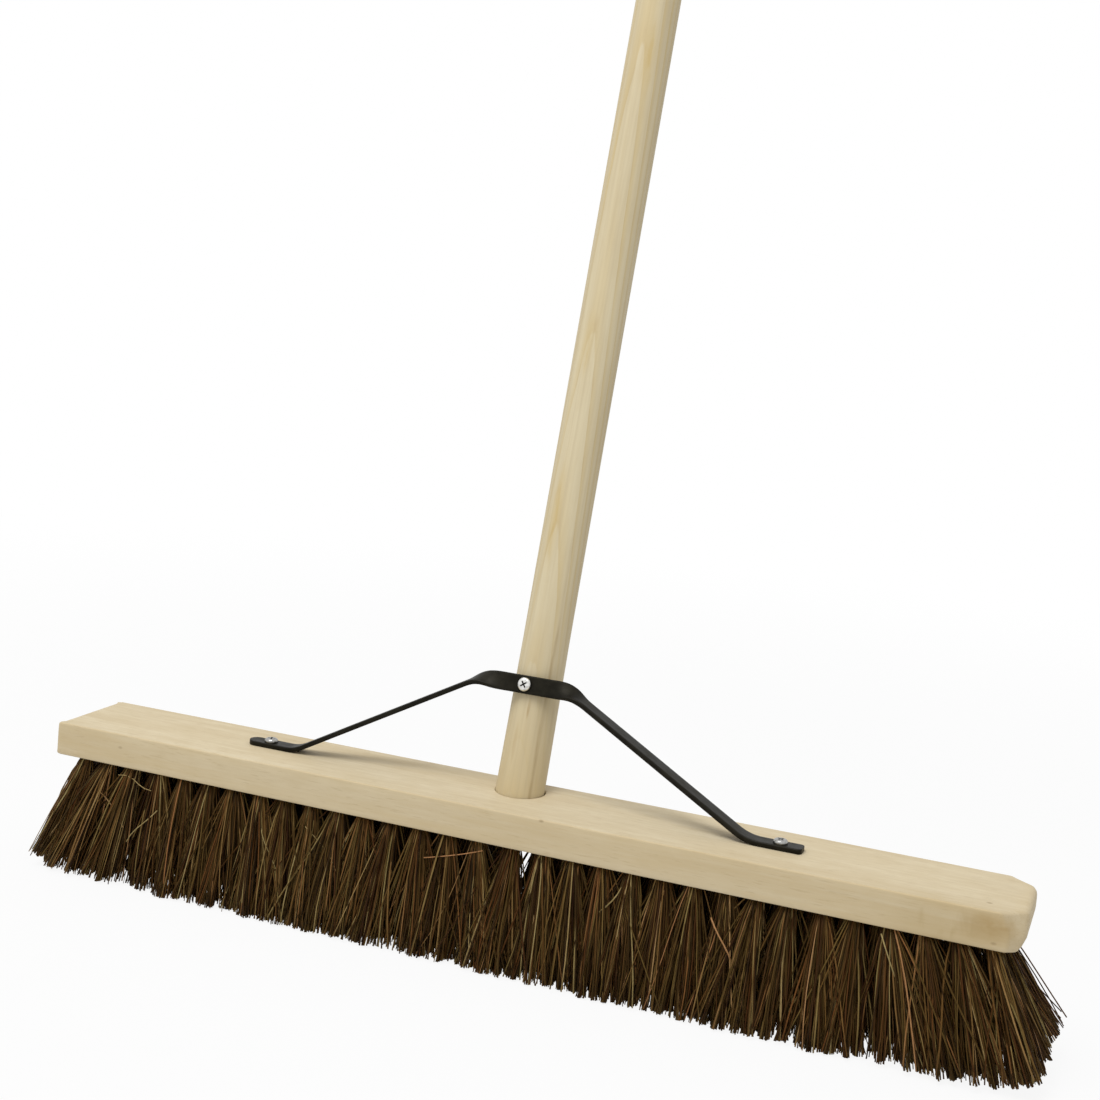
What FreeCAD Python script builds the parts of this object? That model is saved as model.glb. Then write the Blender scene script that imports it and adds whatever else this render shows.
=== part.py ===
import FreeCAD, Part
import math
import os

# Push broom: a wooden stock filled with bassine tufts, a round wooden handle
# driven into a slanting socket, and a flat steel stay screwed to both.
# The origin lies on the floor, under the middle of the head, at the tips of
# the bristles. +X runs along the head, +Y to the back, where the handle leans.

# ---- driving dimensions, mm ----
HEAD_LENGTH = 600.0
HEAD_DEPTH = 65.0
HEAD_HEIGHT = 21.0
BRISTLE_TRIM = 75.0
ARRIS_RADIUS = 1.0
END_CUT = {"left": (1.5, 1.5), "right": (12.0, 11.0)}
END_CUT_FOOT = 1.0

HANDLE_LENGTH = 1372.0
HANDLE_RADIUS = 14.1
BUTT_RADIUS = 14.75
BUTT_TAPER = 90.0
BUTT_CHAMFER = 1.0
HANDLE_DOME = 9.0
LEAN_DEGREES = 15.0
SOCKET_BACK = 11.5
SOCKET_DEPTH = 14.5
SOCKET_RADIUS = 15.2
SOCKET_OFFSET = 0.3

ROW_Y = {"front": -26.0, "front_inner": -13.0, "middle": 0.0, "back_inner": 13.0, "back": 26.0}
ROW_SHIFT = {"front": 0.0, "front_inner": -0.375, "middle": -0.15, "back_inner": 0.375, "back": -0.375}
ROW_SPREAD = 1.27
TUFT_PITCH = 18.1
FIRST_TUFT = {"left": -10.0, "right": 14.0}
LAST_TUFT_REACH = 288.5
TUFT_HOLE_RADIUS = 3.25
TUFT_HOLE_DEPTH = 14.0
TUFT_RADIUS = 3.15
TUFT_PLAY = 0.1
TUFT_TIP_ALONG = 8.7
TUFT_TIP_ACROSS = 7.6
SOCKET_WALL = 1.0
SPLAY_START = 205.0
SPLAY = {"left": 50.0, "right": 34.0}

STAPLE_SPAN = 6.8
STAPLE_HEIGHT = 8.0
STAPLE_WIRE = 1.0
STAPLE_CROWN_DEPTH = 9.5
STAPLE_CLEARANCE = 0.05

STAY_WIDTH = 11.0
STAY_THICKNESS = 3.0
STAY_GAP = 0.35
STAY_HEIGHT = 63.0
STAY_PLATE_HALF = 12.0
STAY_UPPER_BEND = {"left": 31.0, "right": 26.0}
STAY_LOWER_BEND = {"left": 147.0, "right": 143.5}
STAY_END = {"left": 180.3, "right": 175.6}
STAY_FOOT_Y = {"left": 1.9, "right": 0.8}
STAY_UPPER_RADIUS = 22.0
STAY_LOWER_RADIUS = {"left": 22.0, "right": 30.0}
STAY_TWIST_END = {"left": 10.0, "right": 13.0}
STAY_FOOT_CORNER = 2.5
STAY_STEP = 1.6
FOOT_SCREW_X = {"left": -165.6, "right": 162.4}
HANDLE_SCREW_X = -2.4

SCREW_HEAD_RADIUS = 4.2
SCREW_HEAD_HEIGHT = 2.4
SCREW_HEAD_ROUND = 1.68
SCREW_CORE_RADIUS = 1.15
SCREW_THREAD_RADIUS = 1.75
SCREW_PITCH = 1.6
SCREW_FLANK = 0.48
SCREW_LENGTH = 17.0
SCREW_POINT = 3.0
SCREW_TURN = {"handle": 35.0, "left": 20.0, "right": 60.0}
SCREW_HOLE_RADIUS = 1.9
SCREW_HOLE_SPARE = 0.5
STAY_HOLE_RADIUS = 2.3
RECESS_LENGTH = 4.4
RECESS_WIDTH = 0.9
RECESS_DEPTH = 1.6
TOOL_RUN_OUT = 30.0
EDGE_MATCH = 0.01

# ---- worked out from them ----
STOCK_BOTTOM = BRISTLE_TRIM
STOCK_TOP = BRISTLE_TRIM + HEAD_HEIGHT
LEAN = math.radians(LEAN_DEGREES)
PLATE_STANDOFF = HANDLE_RADIUS + STAY_GAP
UP = FreeCAD.Vector(0, 0, 1)
BACK = FreeCAD.Vector(0, 1, 0)
HANDLE_AXIS = FreeCAD.Vector(0, math.sin(LEAN), math.cos(LEAN))
HANDLE_FRONT = FreeCAD.Vector(0, -math.cos(LEAN), math.sin(LEAN))


def on_handle_axis(along):
    """A point on the handle's axis, so far above the top face of the stock."""
    return FreeCAD.Vector(0, SOCKET_BACK, STOCK_TOP) + HANDLE_AXIS * along


def leaned(shape, x_offset=0.0):
    """Turns an upright shape to the handle's lean and stands it on the stock."""
    placed = shape.copy()
    placed.rotate(FreeCAD.Vector(0, 0, 0), FreeCAD.Vector(1, 0, 0), -LEAN_DEGREES)
    placed.translate(on_handle_axis(0) + FreeCAD.Vector(x_offset, 0, 0))
    return placed


def turned(profile):
    """Revolves a closed outline of (radius, height) points about the Z axis."""
    points = [FreeCAD.Vector(radius, 0, height) for radius, height in profile]
    outline = Part.Face(Part.makePolygon(points + points[:1]))
    return outline.revolve(FreeCAD.Vector(0, 0, 0), UP, 360)


def tuft_places():
    """Lists (row, side, x, y) of every tuft, without those that would break the socket."""
    places = []
    for row, y in ROW_Y.items():
        for side, outwards in (("left", -1), ("right", 1)):
            x = FIRST_TUFT[side] + ROW_SHIFT[row] * TUFT_PITCH
            while abs(x) <= LAST_TUFT_REACH:
                places.append((row, side, x, y))
                x += outwards * TUFT_PITCH
    return [place for place in places if clears_socket(place[2], place[3])]


def clears_socket(x, y):
    """True when a tuft hole leaves a sound wall between itself and the socket."""
    depth_from_top = HEAD_HEIGHT - TUFT_HOLE_DEPTH
    socket_y = SOCKET_BACK - depth_from_top * math.tan(LEAN)
    distance = math.hypot(x - SOCKET_OFFSET, (y - socket_y) * math.cos(LEAN))
    return distance > SOCKET_RADIUS + TUFT_HOLE_RADIUS + SOCKET_WALL


def tip_place(x, y):
    """Where a tuft's tip lands: rows spread to front and back, ends splay outwards."""
    ramp = max(0.0, abs(x) - SPLAY_START) / (HEAD_LENGTH / 2 - SPLAY_START)
    splay = SPLAY["left" if x < 0 else "right"] * ramp ** 2
    return x + math.copysign(splay, x), y * ROW_SPREAD


def make_staple():
    """A U of square wire, crown down, that holds a folded tuft in its hole."""
    outer = Part.makeBox(STAPLE_SPAN, STAPLE_WIRE, STAPLE_HEIGHT)
    inner_span = STAPLE_SPAN - 2 * STAPLE_WIRE
    inner = Part.makeBox(inner_span, STAPLE_WIRE, STAPLE_HEIGHT)
    inner.translate(FreeCAD.Vector(STAPLE_WIRE, 0, STAPLE_WIRE))
    staple = outer.cut(inner)
    crown_z = STOCK_BOTTOM + STAPLE_CROWN_DEPTH
    staple.translate(FreeCAD.Vector(-STAPLE_SPAN / 2, -STAPLE_WIRE / 2, crown_z))
    return staple


def staple_slot():
    """The room that a staple takes, with a little play all round."""
    play = STAPLE_CLEARANCE
    slot = Part.makeBox(STAPLE_SPAN + 2 * play, STAPLE_WIRE + 2 * play, STAPLE_HEIGHT + 2 * play)
    crown_z = STOCK_BOTTOM + STAPLE_CROWN_DEPTH
    slot.translate(FreeCAD.Vector(-STAPLE_SPAN / 2 - play, -STAPLE_WIRE / 2 - play, crown_z - play))
    return slot


def make_tuft_plug():
    """The folded end of a tuft inside its hole, notched for the staple."""
    plug = Part.makeCylinder(TUFT_RADIUS, TUFT_HOLE_DEPTH - TUFT_PLAY, FreeCAD.Vector(0, 0, STOCK_BOTTOM))
    notch = staple_slot()
    core = Part.makeBox(STAPLE_SPAN - 2 * (STAPLE_WIRE + TUFT_PLAY), 2 * STAPLE_WIRE, STAPLE_HEIGHT)
    core_z = STOCK_BOTTOM + STAPLE_CROWN_DEPTH + STAPLE_WIRE + STAPLE_CLEARANCE
    core.translate(FreeCAD.Vector(-STAPLE_SPAN / 2 + STAPLE_WIRE + TUFT_PLAY, -STAPLE_WIRE, core_z))
    return plug.cut(notch.cut(core))


def make_tuft(x, y, plug):
    """One bundle of fibre: its plug in the stock, and the brush that flares to the floor."""
    tip_x, tip_y = tip_place(x, y)
    root = Part.Wire(Part.Circle(FreeCAD.Vector(x, y, STOCK_BOTTOM), UP, TUFT_RADIUS).toShape())
    centre = FreeCAD.Vector(tip_x, tip_y, 0)
    long_end = centre + FreeCAD.Vector(TUFT_TIP_ALONG, 0, 0)
    short_end = centre + FreeCAD.Vector(0, TUFT_TIP_ACROSS, 0)
    tip = Part.Wire(Part.Ellipse(long_end, short_end, centre).toShape())
    brush = Part.makeLoft([tip, root], True, True)
    seated = plug.copy()
    seated.translate(FreeCAD.Vector(x, y, 0))
    return brush.fuse(seated)


def stock_corner(x_end, y_side, along, across):
    """The sliver sanded off one upright corner: wide at the top, nothing at the bottom."""
    inwards = -math.copysign(1, x_end)
    towards_middle = -math.copysign(1, y_side)
    corner = FreeCAD.Vector(x_end, y_side, STOCK_TOP)
    foot = FreeCAD.Vector(x_end, y_side, STOCK_BOTTOM + END_CUT_FOOT)
    along_edge = corner + FreeCAD.Vector(inwards * along, 0, 0)
    across_edge = corner + FreeCAD.Vector(0, towards_middle * across, 0)
    corners = [corner, along_edge, across_edge, foot]
    faces = []
    for skipped in range(4):
        ring = [point for index, point in enumerate(corners) if index != skipped]
        faces.append(Part.Face(Part.makePolygon(ring + ring[:1])))
    return Part.Solid(Part.Shell(faces))


def make_stock(places):
    """The wooden stock with its sanded ends, socket, tuft holes and screw pilots."""
    half = HEAD_LENGTH / 2
    side = HEAD_DEPTH / 2
    stock = Part.makeBox(HEAD_LENGTH, HEAD_DEPTH, HEAD_HEIGHT, FreeCAD.Vector(-half, -side, STOCK_BOTTOM))
    long_edges = [edge for edge in stock.Edges if edge.Length > 2 * HEAD_DEPTH]
    stock = stock.makeFillet(ARRIS_RADIUS, long_edges)
    for x_end, end in ((-half, "left"), (half, "right")):
        for y_side in (-side, side):
            stock = stock.cut(stock_corner(x_end, y_side, *END_CUT[end]))
    drill = Part.makeCylinder(TUFT_HOLE_RADIUS, TUFT_HOLE_DEPTH, FreeCAD.Vector(0, 0, STOCK_BOTTOM))
    drill = drill.fuse(staple_slot())
    tools = []
    for place in places:
        hole = drill.copy()
        hole.translate(FreeCAD.Vector(place[2], place[3], 0))
        tools.append(hole)
    bore_length = SOCKET_DEPTH + TOOL_RUN_OUT
    socket = Part.makeCylinder(SOCKET_RADIUS, bore_length, FreeCAD.Vector(0, 0, -SOCKET_DEPTH))
    tools.append(leaned(socket, SOCKET_OFFSET))
    for side, x in FOOT_SCREW_X.items():
        tools.append(screw_hole(FreeCAD.Vector(x, STAY_FOOT_Y[side], STOCK_TOP), UP))
    return stock.cut(tools)


def screw_hole(face_point, outwards):
    """A pilot hole in the wood, drilled from the face in the screw's direction."""
    depth = SCREW_LENGTH - STAY_THICKNESS + SCREW_HOLE_SPARE
    above = face_point + outwards * STAY_THICKNESS
    return Part.makeCylinder(SCREW_HOLE_RADIUS, depth + STAY_THICKNESS, above, outwards * -1)


def make_handle():
    """The round handle: a slightly thicker butt, a straight shaft and a domed end."""
    bottom = -SOCKET_DEPTH
    top = bottom + HANDLE_LENGTH
    butt_edge = BUTT_RADIUS - BUTT_CHAMFER
    side = [
        FreeCAD.Vector(0, 0, bottom),
        FreeCAD.Vector(butt_edge, 0, bottom),
        FreeCAD.Vector(BUTT_RADIUS, 0, bottom + BUTT_CHAMFER),
        FreeCAD.Vector(BUTT_RADIUS, 0, 0),
        FreeCAD.Vector(HANDLE_RADIUS, 0, BUTT_TAPER),
        FreeCAD.Vector(HANDLE_RADIUS, 0, top - HANDLE_DOME),
    ]
    half_turn = HANDLE_DOME * math.sqrt(0.5)
    dome_centre = FreeCAD.Vector(HANDLE_RADIUS - HANDLE_DOME, 0, top - HANDLE_DOME)
    shoulder = dome_centre + FreeCAD.Vector(half_turn, 0, half_turn)
    rim = dome_centre + UP * HANDLE_DOME
    crown = FreeCAD.Vector(0, 0, top)
    edges = Part.makePolygon(side).Edges
    edges.append(Part.Arc(side[-1], shoulder, rim).toShape())
    edges += Part.makePolygon([rim, crown, side[0]]).Edges
    handle = Part.Face(Part.Wire(edges)).revolve(FreeCAD.Vector(0, 0, 0), UP, 360)
    handle = leaned(handle)
    face_point = stay_screw_seat() - HANDLE_FRONT * STAY_THICKNESS
    return handle.cut(screw_hole(face_point, HANDLE_FRONT))


def stay_middle():
    """The middle of the stay's flat plate, in front of the handle."""
    return on_handle_axis(STAY_HEIGHT) + HANDLE_FRONT * (PLATE_STANDOFF + STAY_THICKNESS / 2)


def stay_screw_seat():
    """The point on the plate's front face under the handle screw's head."""
    return stay_middle() + HANDLE_FRONT * (STAY_THICKNESS / 2) + FreeCAD.Vector(HANDLE_SCREW_X, 0, 0)


def rounded_route(corners, radii):
    """Splits a bent line into (start, end, arc middle or None) pieces, tangent to each other."""
    pieces = []
    start = corners[0]
    for before, corner, after, radius in zip(corners, corners[1:], corners[2:], radii):
        arriving = (corner - before).normalize()
        leaving = (after - corner).normalize()
        turn = arriving.getAngle(leaving)
        cut_back = radius * math.tan(turn / 2)
        arc_start = corner - arriving * cut_back
        arc_end = corner + leaving * cut_back
        inwards = (leaving - arriving).normalize()
        arc_middle = corner + inwards * (radius / math.cos(turn / 2) - radius)
        pieces.append((start, arc_start, None))
        pieces.append((arc_start, arc_end, arc_middle))
        start = arc_end
    pieces.append((start, corners[-1], None))
    return pieces


def stay_section(point, direction, twist, outwards):
    """The strip's rectangle across its route; twist turns it from flat to upright."""
    across = (BACK - direction * BACK.dot(direction)).normalize()
    rising = direction.cross(across) * outwards
    wide = across * math.cos(twist) + rising * math.sin(twist)
    thick = direction.cross(wide).normalize()
    half_wide = wide * (STAY_WIDTH / 2)
    half_thick = thick * (STAY_THICKNESS / 2)
    ring = [
        point + half_wide + half_thick,
        point + half_wide - half_thick,
        point - half_wide - half_thick,
        point - half_wide + half_thick,
    ]
    return Part.makePolygon(ring + ring[:1])


def stay_arm(side):
    """One half of the stay: plate, twisting bend, straight arm, lower bend and foot."""
    outwards = -1 if side == "left" else 1
    middle = stay_middle()
    foot_z = STOCK_TOP + STAY_THICKNESS / 2
    corners = [
        middle,
        FreeCAD.Vector(outwards * STAY_UPPER_BEND[side], middle.y, middle.z),
        FreeCAD.Vector(outwards * STAY_LOWER_BEND[side], STAY_FOOT_Y[side], foot_z),
        FreeCAD.Vector(outwards * STAY_END[side], STAY_FOOT_Y[side], foot_z),
    ]
    radii = (STAY_UPPER_RADIUS, STAY_LOWER_RADIUS[side])
    plate, upper_bend, arm, lower_bend, foot = rounded_route(corners, radii)
    sideways = FreeCAD.Vector(outwards, 0, 0)
    arm_direction = (arm[1] - arm[0]).normalize()
    twist_start = middle + sideways * STAY_PLATE_HALF
    twist_stop = arm[0] + arm_direction * STAY_TWIST_END[side]
    foot_end = foot[1] - sideways * (STAY_WIDTH / 2)
    twisting = [(twist_start, sideways)]
    twisting += sample_straight(twist_start, upper_bend[0])
    twisting += sample_arc(upper_bend)
    twisting += sample_straight(arm[0], twist_stop)
    upright = math.pi / 2 - LEAN
    sections = [stay_section(middle, sideways, upright, outwards)]
    for index, (point, direction) in enumerate(twisting):
        progress = index / (len(twisting) - 1)
        ease = progress * progress * (3 - 2 * progress)
        sections.append(stay_section(point, direction, upright * (1 - ease), outwards))
    flat = [(arm[1], arm_direction)] + sample_arc(lower_bend) + [(foot_end, sideways)]
    sections += [stay_section(point, direction, 0, outwards) for point, direction in flat]
    return [Part.makeLoft(sections, True, True), foot_tip(side, foot_end)]


def sample_straight(start, end):
    """Points and directions along a straight piece, without its first point."""
    direction = (end - start).normalize()
    count = max(1, round((end - start).Length / STAY_STEP))
    return [(start + (end - start) * (step / count), direction) for step in range(1, count + 1)]


def sample_arc(piece):
    """Points and directions along an arc piece, without its first point."""
    start, end, middle = piece
    arc = Part.Arc(start, middle, end).toShape()
    low, high = arc.ParameterRange
    count = max(2, round(arc.Length / STAY_STEP))
    samples = []
    for step in range(1, count + 1):
        at = low + (high - low) * step / count
        samples.append((arc.valueAt(at), arc.tangentAt(at).normalize()))
    return samples


def foot_tip(side, centre):
    """The last half width of a foot: round on the left, square with eased corners on the right."""
    half_width = STAY_WIDTH / 2
    base = centre - UP * (STAY_THICKNESS / 2)
    if side == "left":
        return Part.makeCylinder(half_width, STAY_THICKNESS, base)
    tip = Part.makeBox(half_width, STAY_WIDTH, STAY_THICKNESS, base - BACK * half_width)
    far_edges = [edge for edge in tip.Edges
                 if abs(edge.CenterOfMass.x - base.x - half_width) < EDGE_MATCH
                 and abs(edge.CenterOfMass.z - centre.z) < EDGE_MATCH]
    return tip.makeFillet(STAY_FOOT_CORNER, far_edges)


def make_stay():
    """The whole stay: both arms in one bent strip, with its three screw holes."""
    pieces = stay_arm("left") + stay_arm("right")
    stay = pieces[0].fuse(pieces[1:]).removeSplitter()
    holes = [Part.makeCylinder(STAY_HOLE_RADIUS, 3 * STAY_THICKNESS,
                               stay_screw_seat() + HANDLE_FRONT * STAY_THICKNESS, HANDLE_FRONT * -1)]
    for side, x in FOOT_SCREW_X.items():
        above = FreeCAD.Vector(x, STAY_FOOT_Y[side], STOCK_TOP + 2 * STAY_THICKNESS)
        holes.append(Part.makeCylinder(STAY_HOLE_RADIUS, 3 * STAY_THICKNESS, above, UP * -1))
    return stay.cut(holes)


def make_screw():
    """A pan-head cross-recess wood screw, seat at the origin, point down the Z axis."""
    head = Part.makeCylinder(SCREW_HEAD_RADIUS, SCREW_HEAD_HEIGHT)
    rim = [edge for edge in head.Edges if abs(edge.CenterOfMass.z - SCREW_HEAD_HEIGHT) < EDGE_MATCH]
    head = head.makeFillet(SCREW_HEAD_ROUND, rim)
    for angle in (0, 90):
        bar = Part.makeBox(RECESS_LENGTH, RECESS_WIDTH, RECESS_DEPTH)
        bar.translate(FreeCAD.Vector(-RECESS_LENGTH / 2, -RECESS_WIDTH / 2, SCREW_HEAD_HEIGHT - RECESS_DEPTH))
        bar.rotate(FreeCAD.Vector(0, 0, 0), UP, angle)
        head = head.cut(bar)
    profile = [(0, 0), (SCREW_THREAD_RADIUS, 0), (SCREW_THREAD_RADIUS, -STAY_THICKNESS)]
    threads = int((SCREW_LENGTH - STAY_THICKNESS - SCREW_POINT) / SCREW_PITCH)
    for turn in range(threads):
        crest = -STAY_THICKNESS - (turn + 0.5) * SCREW_PITCH
        profile.append((SCREW_CORE_RADIUS, crest + SCREW_FLANK))
        profile.append((SCREW_THREAD_RADIUS, crest))
        profile.append((SCREW_CORE_RADIUS, crest - SCREW_FLANK))
    profile.append((0, -SCREW_LENGTH))
    return head.fuse(turned(profile))


def seated_screw(seat, outwards, turn_degrees):
    """A screw driven home: its head on the seat, its axis along the outward direction."""
    screw = make_screw()
    screw.rotate(FreeCAD.Vector(0, 0, 0), UP, turn_degrees)
    screw.Placement = FreeCAD.Placement(seat, FreeCAD.Rotation(UP, outwards)).multiply(screw.Placement)
    return screw


def all_parts():
    """Every sub-part of the broom, by the name of its node."""
    places = tuft_places()
    parts = {
        "stock": make_stock(places),
        "handle": make_handle(),
        "stay": make_stay(),
        "stay_handle_screw": seated_screw(stay_screw_seat(), HANDLE_FRONT, SCREW_TURN["handle"]),
    }
    for side, x in FOOT_SCREW_X.items():
        seat = FreeCAD.Vector(x, STAY_FOOT_Y[side], STOCK_TOP + STAY_THICKNESS)
        parts[f"stay_foot_screw_{side}"] = seated_screw(seat, UP, SCREW_TURN[side])
    plug = make_tuft_plug()
    staple = make_staple()
    for row in ROW_Y:
        for side in ("left", "right"):
            here = [(x, y) for row_name, side_name, x, y in places if (row_name, side_name) == (row, side)]
            parts[f"tufts_{row}_{side}"] = Part.makeCompound([make_tuft(x, y, plug) for x, y in here])
            staples = []
            for x, y in here:
                driven = staple.copy()
                driven.translate(FreeCAD.Vector(x, y, 0))
                staples.append(driven)
            parts[f"staples_{row}_{side}"] = Part.makeCompound(staples)
    return parts


os.makedirs("parts", exist_ok=True)
for name, shape in all_parts().items():
    shape.exportStep(f"parts/{name}.step")
    print(name, len(shape.Solids), round(shape.Volume, 1), shape.isValid())
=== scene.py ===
import math

import bmesh
import bpy
import numpy as np
from mathutils import Matrix, Vector


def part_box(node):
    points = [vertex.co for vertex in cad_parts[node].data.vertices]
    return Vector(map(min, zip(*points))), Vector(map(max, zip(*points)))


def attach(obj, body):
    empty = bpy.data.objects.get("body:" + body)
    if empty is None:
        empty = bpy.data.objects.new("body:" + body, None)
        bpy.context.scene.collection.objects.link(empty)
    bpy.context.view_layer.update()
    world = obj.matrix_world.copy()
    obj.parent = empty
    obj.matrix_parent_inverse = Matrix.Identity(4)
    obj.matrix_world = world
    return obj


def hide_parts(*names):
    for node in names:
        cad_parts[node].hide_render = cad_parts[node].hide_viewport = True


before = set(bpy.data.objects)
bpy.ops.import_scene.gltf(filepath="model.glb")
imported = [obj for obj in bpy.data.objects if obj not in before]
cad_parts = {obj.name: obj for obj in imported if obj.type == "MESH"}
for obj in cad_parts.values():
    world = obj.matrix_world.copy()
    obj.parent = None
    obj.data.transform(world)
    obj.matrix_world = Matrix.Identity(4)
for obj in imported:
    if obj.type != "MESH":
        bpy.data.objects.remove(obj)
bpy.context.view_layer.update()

# ---- stock ----
# One plank of pale, close-grained hardwood, planed on its long faces. Its arrises
# are just broken with sandpaper, its ends are sanded off by hand, and a slanting
# round socket is bored in the middle of the top for the handle.
MM = 0.001
STOCK_ARRIS = 0.9 * MM
STOCK_FOOT_ROUND = 0.6 * MM
STOCK_END_ROUND = {"right": 3.6 * MM, "left": 4.5 * MM}
STOCK_END_SWELL = {"right": 1.8 * MM, "left": 1.6 * MM}
STOCK_FOOT_TUCK = 3.2 * MM
STOCK_TUCK_SHARE = 0.38
STOCK_CORNER_CUT = {"right": (12.0 * MM, 11.0 * MM), "left": (1.5 * MM, 1.5 * MM)}
STOCK_CORNER_ROUND = {"right": 6.0 * MM, "left": 1.2 * MM}
STOCK_FOOT_CUT = {"right": 4.4 * MM, "left": 0.8 * MM}
STOCK_SIDE_STEPS = (90, 16, 5)
STOCK_CORNER_STEPS = 6
SOCKET_RADIUS = 15.2 * MM
SOCKET_OFFSET = 0.3 * MM
SOCKET_BACK = 11.5 * MM
SOCKET_BOTTOM = 12.0 * MM
SOCKET_FLOOR_SHARE = 0.9
SOCKET_MOUTH = [(1.0, 0.9 * MM), (1.0, 0.45 * MM), (1.012, 0.12 * MM),
                (1.03, 0.0), (1.06, 0.0), (1.2, 0.0)]
TOP_INSETS = (1.7, 1.25)
UNDER_INSETS = (1.4, 2.5)
LEAN = math.radians(15.0)
HANDLE_AXIS = np.array([0.0, math.sin(LEAN), math.cos(LEAN)])
HANDLE_BACK = np.array([0.0, math.cos(LEAN), -math.sin(LEAN)])
STOCK_LOW, STOCK_HIGH = (np.array(corner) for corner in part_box("stock"))
STOCK_TOP = STOCK_HIGH[2]
STOCK_BOTTOM = STOCK_LOW[2]


def skin(name, rings, material):
    """A mesh stretched over rings of points, an array of (tubes, rings, points, xyz).

    Each point joins the next on its own ring and its twin on the next ring of the
    same tube. The first and last rings of a tube are closed, and all faces are
    then turned outwards.
    """
    tubes, steps, sides, _ = rings.shape
    index = np.arange(tubes * steps * sides).reshape(tubes, steps, sides)
    here, ahead = index[:, :-1], index[:, 1:]
    quads = np.stack([here, np.roll(here, -1, 2), np.roll(ahead, -1, 2), ahead], -1)
    caps = np.concatenate([index[:, 0, ::-1], index[:, -1]])
    mesh = bpy.data.meshes.new(name)
    mesh.from_pydata(rings.reshape(-1, 3), [], quads.reshape(-1, 4).tolist() + caps.tolist())
    shell = bmesh.new()
    shell.from_mesh(mesh)
    bmesh.ops.recalc_face_normals(shell, faces=shell.faces)
    shell.to_mesh(mesh)
    shell.free()
    smooth = np.ones(len(mesh.polygons), bool)
    smooth[-2 * tubes:] = False
    mesh.polygons.foreach_set("use_smooth", smooth)
    mesh.materials.append(material)
    piece = bpy.data.objects.new(name, mesh)
    bpy.context.scene.collection.objects.link(piece)
    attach(piece, "root")
    return piece


def rounded_outline(corners, radii, arc_steps, edge_steps):
    """Points and outward normals round a polygon whose corners are arcs of given radii.

    corners go anticlockwise. At each corner the normal turns evenly from the
    normal of the side before it to that of the side after it, and the point is
    the arc's centre plus radius times that normal. Sides are divided evenly.
    """
    sides = np.roll(corners, -1, 0) - corners
    after = sides / np.linalg.norm(sides, axis=1, keepdims=True)
    before = np.roll(after, 1, 0)
    outwards = np.stack([before[:, 1], -before[:, 0]], 1)
    cross = before[:, 0] * after[:, 1] - before[:, 1] * after[:, 0]
    turns = np.arctan2(cross, (before * after).sum(1))
    centres = corners - before * (radii * np.tan(turns / 2))[:, None] - outwards * radii[:, None]
    angles = turns[:, None] * np.linspace(0, 1, arc_steps)
    arc_normals = (outwards[:, None] * np.cos(angles)[..., None]
                   + before[:, None] * np.sin(angles)[..., None])
    arcs = centres[:, None] + radii[:, None, None] * arc_normals
    points, normals = [], []
    for corner, steps in enumerate(edge_steps):
        start, end = arcs[corner, -1], arcs[(corner + 1) % len(corners), 0]
        share = (np.arange(1, steps) / steps)[:, None]
        points += [arcs[corner], start + (end - start) * share]
        normals += [arc_normals[corner], np.repeat(arc_normals[corner, -1:], steps - 1, 0)]
    return np.concatenate(points), np.concatenate(normals)


def stock_outline(height):
    """The stock's plan outline at a share of its height, with the ends' corners cut off.

    Each corner cut grows evenly from the foot cut at the bottom to its full size at the
    top. Each end stands a little past the drilled length, as sawn, and the right one is
    tucked in again evenly below a share of the height.
    """
    half_x, half_y = STOCK_HIGH[0], STOCK_HIGH[1]
    tuck = STOCK_FOOT_TUCK * max(0.0, 1 - height / STOCK_TUCK_SHARE)
    right_end = half_x + STOCK_END_SWELL["right"] - tuck
    left_end = -half_x - STOCK_END_SWELL["left"]
    cuts = {}
    for side, (along, across) in STOCK_CORNER_CUT.items():
        foot = STOCK_FOOT_CUT[side]
        cuts[side] = (foot + (along - foot) * height, foot + (across - foot) * height)
    right_x, right_y = cuts["right"]
    left_x, left_y = cuts["left"]
    corners = np.array([
        (right_end, -half_y + right_y), (right_end, half_y - right_y),
        (half_x - tuck - right_x, half_y), (-half_x + left_x, half_y),
        (left_end, half_y - left_y), (left_end, -half_y + left_y),
        (-half_x + left_x, -half_y), (half_x - tuck - right_x, -half_y),
    ])
    long_steps, end_steps, cut_steps = STOCK_SIDE_STEPS
    steps = (end_steps, cut_steps, long_steps, cut_steps) * 2
    right, left = (
        STOCK_FOOT_CUT[side] + (STOCK_CORNER_ROUND[side] - STOCK_FOOT_CUT[side]) * height
        for side in ("right", "left"))
    radii = np.array([right, right, right, left, left, left, left, right])
    return rounded_outline(corners, radii, STOCK_CORNER_STEPS, steps)


def stock_ring(height, inset):
    """A ring of the stock's outside: the outline at a height, shrunk by an inset all round."""
    share = np.clip((height - STOCK_BOTTOM) / (STOCK_TOP - STOCK_BOTTOM), 0, 1)
    points, _ = stock_outline(share)
    points = points * (1 - inset[:, None] / STOCK_HIGH[:2])
    return np.column_stack([points, np.full(len(points), height)])


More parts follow.
